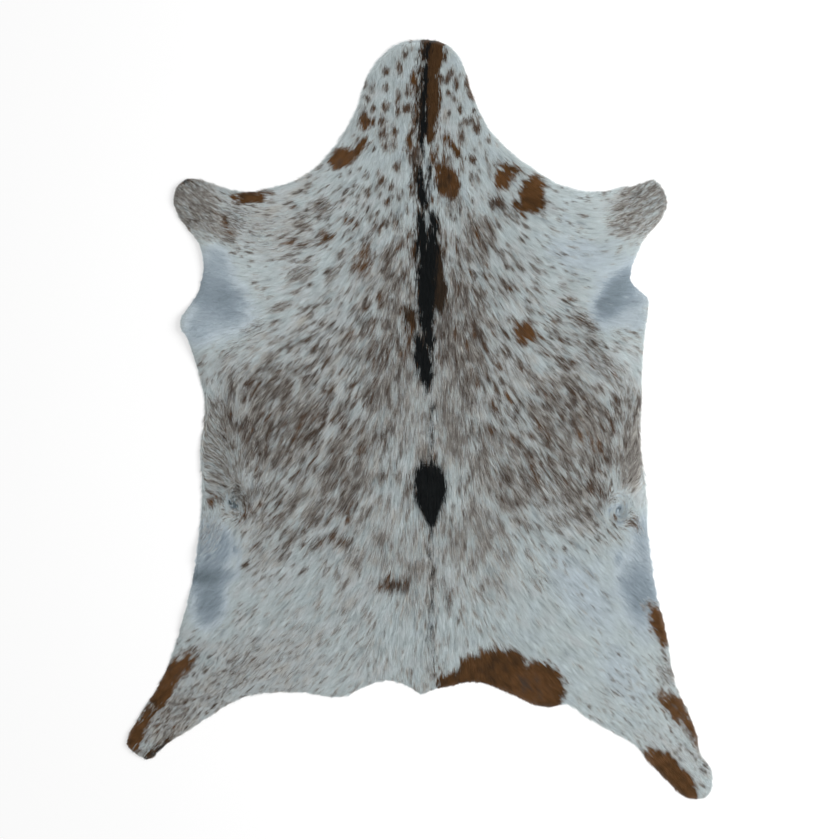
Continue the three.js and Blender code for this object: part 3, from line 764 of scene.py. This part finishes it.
def pigment_at(x, y, dice, streak, wide):
    """The pigment of hairs that show at these places. dice holds one throw for each hair, and
    streak and wide say how far it belongs to a fine and to a broad dark streak."""
    # The ground is white, greyer where there are many speckles, and a little darker on the left as
    # painted shade, where the light falls off.
    cover = read(cover_map, x, y)
    tone = WHITE - 0.012 + 0.02 * clouds(x, y, 0.11, 8) + 0.02 * clouds(x, y, 0.024, 9)
    tone = tone + 0.01 * wide + 0.03 * (dice - 0.5)
    # painted shade: the whites darken towards the left
    tone = tone + 0.02 * np.clip(-x / 0.2, 0, 1) + 0.035 * cover
    # Thin places, with their painted shade in dips and creases and painted light on the silver places.
    thin_and_shaded = np.zeros(x.size)
    for _, pigment, *ellipse, full in THIN_COAT_AND_PAINTED_LIGHT:
        depth = in_ellipse(x, y, *ellipse)
        depth = np.clip(1.2 * depth / min(ellipse[2:4]), 0, 1)
        depth = np.clip(full * depth * depth * (3 - 2 * depth), 0, 1)
        tone = tone + (pigment - tone) * depth
        if pigment < SILVER_HIGHLIGHT:
            thin_and_shaded = np.maximum(thin_and_shaded, depth)
    # painted sheen: in the whorls the tone rings round with the sheen streaks
    tone = tone + 0.05 * read(whorl_map, x, y) * streak
    # Brown hairs mixed in, in blotches: broad ones in long hair and small ones in short hair.
    roan = 0.4 * np.clip(cover, 0, 0.85) ** 2
    for _, *ellipse, full in ROANED:
        depth = in_ellipse(x, y, *ellipse)
        roan = np.maximum(roan, full * np.clip(2.2 * depth / min(ellipse[2:4]), 0, 1))
    long_hair = np.clip(read(length_map, x, y) / 0.006 - 1.6, 0, 1)
    blotches = 0.1 * wide + 0.3 * clumps(x, y) + 0.3 * clouds(x, y, 0.013, 12)
    blotches = blotches * long_hair
    blotches = blotches + 0.45 * clouds(x, y, 0.0065, 13) * (1 - long_hair)
    roan = roan * np.clip(1 + blotches + 0.2 * streak, 0.1, 2)
    plain = 1 - 0.85 * np.clip(2 * thin_and_shaded, 0, 1)
    tone = tone + (ROAN - tone) * taken(np.clip(roan, 0, 0.56) * plain, dice, 0.7)
    # Speckles.
    share = read(speckle_share, x, y) * plain
    share = np.clip(share * (1 + (0.15 + 0.2 * long_hair) * streak), 0, 0.8)
    tone = tone + (read(speckle_tone, x, y) - tone) * taken(share, dice, 0.5)
    # The faint line along the backbone.
    line = np.abs(x - LINE_X - LINE_WAVER * np.sin(y * 55))
    faint = np.where((y < LINE_START) & (y > LINE_END), LINE_FULL, 0)
    faint = faint * np.exp(-((line / LINE_WIDTH) ** 2))
    faint = faint * (1 + 0.6 * clouds(x, y, 0.03, 3) + 0.3 * streak)
    tone = tone + (BLACK - tone) * taken(np.clip(faint, 0, 0.8), dice, 0.1)
    # Clumps and patches, with ragged edges.
    rough = clouds(x, y, 0.011, 4)
    shift = 0.06 * clouds(x, y, 0.014, 6) + 0.025 * wide
    for _, pigment, *ellipse, full in CLUMPS + PATCHES:
        depth = in_ellipse(x, y, *ellipse)
        fade = 6 + 14 * (1 - full)
        share = full * np.clip(0.5 + (depth + 2.0 * rough + 1.4 * streak) / fade, 0, 1)
        tone = tone + (pigment + shift - tone) * taken(share, dice, 0.35)
    # The stripes of the backbone.
    for pigment, softness, stretch in BACKBONE:
        ys, lefts, rights = (np.array(c, float)[::-1] / 1000 for c in zip(*stretch))
        depth = np.minimum(x - np.interp(y, ys, lefts), np.interp(y, ys, rights) - x)
        ends = np.minimum(y - ys[0], ys[-1] - y) * 1000 + 2.0
        depth = np.minimum(depth * 1000 + 1.8 * streak, ends)
        share = np.clip(0.5 + depth / (1.8 * softness), 0, 1)
        tone = tone + (pigment - tone) * taken(share, dice, 0.15)
    return tone


# ---------------------------------------------------------------------------------------------
# The coat. Goat hair, 5 to 21 mm long, combed flat. A real hair is under 0.1 mm thick; here a
# strand stands for a few that cling together, so that it shows. Each strand is one slim blade,
# widest at its root, which runs up through the coat to a fine tip.
PIECES = ("coat_neck", "coat_shoulders", "coat_ribs", "coat_loin", "coat_rump")
STRAND_SPACING = 0.000668
STRAND_WIDTH = 0.00070
ROOT_DEPTH = 0.0002          # how deep roots stand in the skin, and how far inside its cut
OVERHANG = 0.0012            # how far tips may pass the outline of the hide
SPLAY, SPLAY_REACH = 1.5, 0.0035   # how strongly it splays at the cut, and how far in from it
TRIMS, TRIMMED = 5, 0.74     # how often a strand may be cut back, and what is left each time
EDGE_FADE = 0.004            # how far in from the outline the tips come down
LEAST_PILE = 0.001           # the coat is at least so deep
LEAST_RISE = 0.0003          # and every tip at least so far above the skin
LEAST_HEIGHT = 0.0004        # and above the floor
SHOWS_AT = 0.65              # how far along it a hair shows most
SHOW_SCATTER = 0.0008        # and how far from there it may show
# What each corner of a strand adds to its pigment and painted shade: it is darker at its root, painted
# shade deep in the coat.
CORNER_TINTS_AND_ROOT_SHADE = ((-0.004, -0.12), (0.004, -0.12), (0, 0.12))

dice = np.random.default_rng(5)
cells = ((map_size - 1) * MAP_STEP / STRAND_SPACING).astype(int)
column, row = (a.ravel() for a in np.meshgrid(*map(np.arange, cells), indexing="ij"))
root_x = low[0] + (column + dice.uniform(0, 1, column.size)) * STRAND_SPACING
root_y = low[1] + (row + dice.uniform(0, 1, row.size)) * STRAND_SPACING
grows = read(cut_map, root_x, root_y) > ROOT_DEPTH
root_x, root_y = root_x[grows], root_y[grows]
count = root_x.size

# By the four streak maps hairs lean together, are longer or shorter, lighter or darker in a painted
# sheen, and lie deeper or higher, with painted shade where they lie deeper.
lean, cling, fine_streak_and_sheen, swell = (read(streak, root_x, root_y) for streak in streaks)

# At the cut edge nothing holds the hair up, so it splays outwards over the rim.
slope_x, slope_y = np.gradient(blurred(rim_map, MAP_STEP), MAP_STEP)
splay_map = SPLAY * np.clip(1 - cut_map / SPLAY_REACH, 0, 1)
lie_x, lie_y = flow_x - splay_map * slope_x, flow_y - splay_map * slope_y
way = way_at(lie_x, lie_y, root_x, root_y) + 0.08 * lean + dice.normal(0, 0.07, count)
length = read(length_map, root_x, root_y) * (1 + 0.08 * cling)
usual_length = length
length = length * dice.uniform(0.75, 1.15, count)
for _ in range(TRIMS):
    tip_x, tip_y = root_x + length * np.cos(way), root_y + length * np.sin(way)
    past = read(rim_map, tip_x, tip_y) < -OVERHANG * (0.6 * cling + dice.uniform(-0.7, 1.3, count))
    length = np.where(past, length * TRIMMED, length)
mid_x = root_x + 0.5 * length * np.cos(way)
mid_y = root_y + 0.5 * length * np.sin(way)
onward = way_at(lie_x, lie_y, mid_x, mid_y) + 0.08 * lean + dice.normal(0, 0.06, count)
tip_x = mid_x + 0.5 * length * np.cos(onward)
tip_y = mid_y + 0.5 * length * np.sin(onward)

# Tips rise most of the way to the top of the coat, as far as the length of the hair allows.
root_z = read(floor_gap_map, root_x, root_y) + SKIN_THICKNESS - ROOT_DEPTH
pile = np.maximum(read(coat_top_map, tip_x, tip_y) - read(floor_gap_map, tip_x, tip_y)
                  - SKIN_THICKNESS, LEAST_PILE)
tip_rise = pile * (0.72 + 0.08 * swell + dice.normal(0, 0.12, count))
run = np.maximum(length, 0.016 * read(whorl_map, root_x, root_y))
tip_rise = np.minimum(tip_rise, run * dice.uniform(0.10, 0.22, count))
from_edge = np.clip(read(rim_map, tip_x, tip_y) / EDGE_FADE, 0, 1)
tip_z = (SKIN_THICKNESS + np.clip(tip_rise, LEAST_RISE, None)) * (0.45 + 0.55 * from_edge)
tip_z = np.maximum(read(floor_gap_map, tip_x, tip_y) + tip_z, LEAST_HEIGHT)

width = STRAND_WIDTH * dice.uniform(0.7, 1.25, count) / 2
roll = dice.normal(0, 0.25, count)
side_x, side_y = -np.sin(way) * width * np.cos(roll), np.cos(way) * width * np.cos(roll)
side_z = width * np.sin(roll)

# The tables of markings say where they show, which is well along the hair that grows there.
forward = np.minimum(SHOWS_AT * usual_length, length) + usual_length * (
    0.10 * cling + 0.08 * dice.normal(0, 1, count))
show_x = root_x + forward * np.cos(way) + dice.normal(0, SHOW_SCATTER, count)
show_y = root_y + forward * np.sin(way) + dice.normal(0, SHOW_SCATTER, count)
# Long hair hangs together in locks that are all dark or all white; short hair doesn't.
locks = np.clip(usual_length / 0.05, 0.1, 0.32)
throw = locks / (1 + np.exp(-1.7 * lean)) + (1 - locks) * dice.uniform(0, 1, count)
tone = pigment_at(show_x, show_y, throw, fine_streak_and_sheen, swell) + dice.normal(0, 0.006, count)
tone = np.clip(tone, 0.01, 0.99)
# Painted sheen and shade: each strand is lighter or darker along its sheen streak, the more so in long
# hair, lighter where it lies higher, and uneven at random.
painted_sheen = np.clip(usual_length / 0.016, 0.4, 1.1)
shade = np.clip(0.52 + painted_sheen * (0.16 * fine_streak_and_sheen + 0.06 * swell + dice.normal(0, 0.10, count))
                + 0.08 * clouds(show_x, show_y, 0.05, 14), 0.13, 0.87)

# Under the hair the grain side has the colour of the hair that grows there, only darker.
places = np.empty(len(skin_mesh.vertices) * 3, np.float32)
skin_mesh.vertices.foreach_get("co", places)
skin_x, skin_y = places.reshape(-1, 3)[:, :2].T
level = np.zeros(skin_x.size)
skin_tone = pigment_at(skin_x, skin_y, level + 0.5, level, level)
stops, codes = zip(*PIGMENTS)
tints = np.array([linear(code) for code in codes])
tints = np.stack([np.interp(skin_tone, stops, tints[:, i]) for i in range(4)], axis=1)
tints[:, :3] *= 0.55
ground = skin_mesh.color_attributes.new("pigment", "FLOAT_COLOR", "POINT")
ground.data.foreach_set("color", tints.astype(np.float32).ravel())
grain, tree, shader = new_material("tanned_grain_side")
tint = add(tree, "ShaderNodeAttribute", {"attribute_name": "pigment"})
tree.links.new(tint.outputs["Color"], shader.inputs["Base Color"])
place = add(tree, "ShaderNodeTexCoord")
pores = add(tree, "ShaderNodeTexNoise", {"Scale": 1400.0, "Detail": 2.0},
            {"Vector": (place, "Object")})
bump = add(tree, "ShaderNodeBump", {"Strength": 0.3, "Distance": 0.0002}, {"Height": (pores, "Fac")})
tree.links.new(bump.outputs["Normal"], shader.inputs["Normal"])
shader.inputs["Roughness"].default_value = 0.7
skin_mesh.materials.append(grain)
inner = read(cut_map, *np.array([p.center.xy for p in skin_mesh.polygons]).T) > 0.0004
upward = np.array([p.normal.z for p in skin_mesh.polygons]) > 0.3
skin_mesh.polygons.foreach_set("material_index", (inner & upward).astype(np.int32))

# Goat hair: fine, dense and dry, and matt; its soft lustre along the strand is painted sheen in each
# strand's shade. The pigment and the painted shade of each strand are its place on the map OFBake,
# pigment across it and shade up it.
coat_material, tree, shader = new_material("goat_hair")
spot = add(tree, "ShaderNodeUVMap", {"uv_map": "OFBake"})
parts = add(tree, "ShaderNodeSeparateXYZ", links={"Vector": (spot, "UV")})
hue = add(tree, "ShaderNodeValToRGB", links={"Fac": (parts, "X")}, stops=PIGMENTS)
# painted shade: the shade up the map darkens the pigment, to about a third at its lowest
depth = add(tree, "ShaderNodeValToRGB", links={"Fac": (parts, "Y")},
            stops=((0.0, "#9c9c9c"), (0.4, "#e4e4e4"), (1.0, "#ffffff")))
mixed = add(tree, "ShaderNodeMix", {"data_type": "RGBA", "blend_type": "MULTIPLY", 0: 1.0},
            {6: (hue, "Color"), 7: (depth, "Color")})
tree.links.new(mixed.outputs[2], shader.inputs["Base Color"])
shader.inputs["Roughness"].default_value = 0.6
shader.inputs["Specular IOR Level"].default_value = 0.08

root = np.stack([root_x, root_y, root_z], axis=1)
side = np.stack([side_x, side_y, side_z], axis=1)
tip = np.stack([tip_x, tip_y, tip_z], axis=1)
blades = np.stack([root + side, root - side, tip], axis=1).astype(np.float32)
places = (np.stack([tone, shade], axis=1)[:, None] + CORNER_TINTS_AND_ROOT_SHADE).astype(np.float32)
order = np.argsort(-root_y, kind="stable")
for name, chosen in zip(PIECES, np.array_split(order, len(PIECES))):
    n = chosen.size
    mesh = bpy.data.meshes.new(name)
    mesh.vertices.add(3 * n)
    mesh.vertices.foreach_set("co", blades[chosen].ravel())
    mesh.loops.add(3 * n)
    mesh.loops.foreach_set("vertex_index", np.arange(3 * n, dtype=np.int32))
    mesh.polygons.add(n)
    mesh.polygons.foreach_set("loop_start", np.arange(0, 3 * n, 3, dtype=np.int32))
    mesh.update(calc_edges=True)
    layer = mesh.uv_layers.new(name="OFBake")
    layer.uv.foreach_set("vector", places[chosen].ravel())
    mesh.materials.append(coat_material)
    lock_of_hair = put_in_scene(name, mesh)
    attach(lock_of_hair, "root")
    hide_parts("hide")

# ---------------------------------------------------------------------------------------------
# The studio. The floor is white paper, and takes the rug's soft shadow. One large softbox stands
# to the side, the room fills in evenly, and the camera hangs straight over the rug.
FLOOR = 6.0                  # half the width of the paper
VIEW_WIDTH = 1.049           # how much of it the camera sees

floor_mesh = bpy.data.meshes.new("floor")
floor_mesh.from_pydata([(-FLOOR, -FLOOR, 0), (FLOOR, -FLOOR, 0), (FLOOR, FLOOR, 0),
                        (-FLOOR, FLOOR, 0)], [], [(0, 1, 2, 3)])
floor = put_in_scene("floor", floor_mesh)
# White paper. Close to the rug it shows its shadow softly, and further out it looks plain white.
paper, tree, shader = new_material("white_paper")
shader.inputs["Base Color"].default_value = linear("#f4f4f4")
shader.inputs["Roughness"].default_value = 0.9
shader.inputs["Specular IOR Level"].default_value = 0.1
glow = add(tree, "ShaderNodeEmission", {"Strength": 1.0})
place = add(tree, "ShaderNodeTexCoord")
distance = add(tree, "ShaderNodeVectorMath", {"operation": "LENGTH"}, {0: (place, "Object")})
whiteness = add(tree, "ShaderNodeMapRange", {"From Min": 0.5, "From Max": 2.2, "To Min": 0.65},
                {"Value": (distance, "Value")})
path = add(tree, "ShaderNodeLightPath")
seen = add(tree, "ShaderNodeMath", {"operation": "MULTIPLY"},
           {0: (path, "Is Camera Ray"), 1: (whiteness, "Result")})
white_out = add(tree, "ShaderNodeMixShader", links={0: (seen, 0), 1: (shader, 0), 2: (glow, 0)})
tree.links.new(white_out.outputs[0], tree.nodes["Material Output"].inputs["Surface"])
floor_mesh.materials.append(paper)

# The room fills in from all sides, and looks white where it is seen.
world = bpy.data.worlds.new("studio")
bpy.context.scene.world = world
world.use_nodes = True
tree = world.node_tree
fill = tree.nodes["Background"]
fill.inputs["Color"].default_value = linear("#ffffff")
fill.inputs["Strength"].default_value = 0.40
path = add(tree, "ShaderNodeLightPath")
seen_plainly = add(tree, "ShaderNodeMath", {"operation": "MAXIMUM"},
                   {0: (path, "Is Camera Ray"), 1: (path, "Is Transmission Ray")})
shows_white = add(tree, "ShaderNodeMath", {"operation": "MAXIMUM"},
                  {0: (seen_plainly, 0), 1: (path, "Is Glossy Ray")})
backdrop = add(tree, "ShaderNodeBackground", {"Color": linear("#ffffff"), "Strength": 1.0})
choice = add(tree, "ShaderNodeMixShader",
             links={0: (shows_white, 0), 1: (fill, 0), 2: (backdrop, 0)})
tree.links.new(choice.outputs[0], tree.nodes["World Output"].inputs["Surface"])

soft = bpy.data.lights.new("softbox", "AREA")
soft.shape = "SQUARE"
soft.size = 1.4
soft.energy = 65.5
softbox = put_in_scene("softbox", soft)
softbox.location = (1.45, 0.15, 1.45)
softbox.rotation_mode = "QUATERNION"
softbox.rotation_quaternion = softbox.location.to_track_quat("Z", "Y")

lens = bpy.data.cameras.new("camera")
lens.lens = 80
lens.sensor_width = 36
camera = put_in_scene("camera", lens)
camera.location = (0, 0, VIEW_WIDTH * lens.lens / lens.sensor_width)
bpy.context.scene.camera = camera
bpy.context.scene.view_settings.view_transform = "Standard"
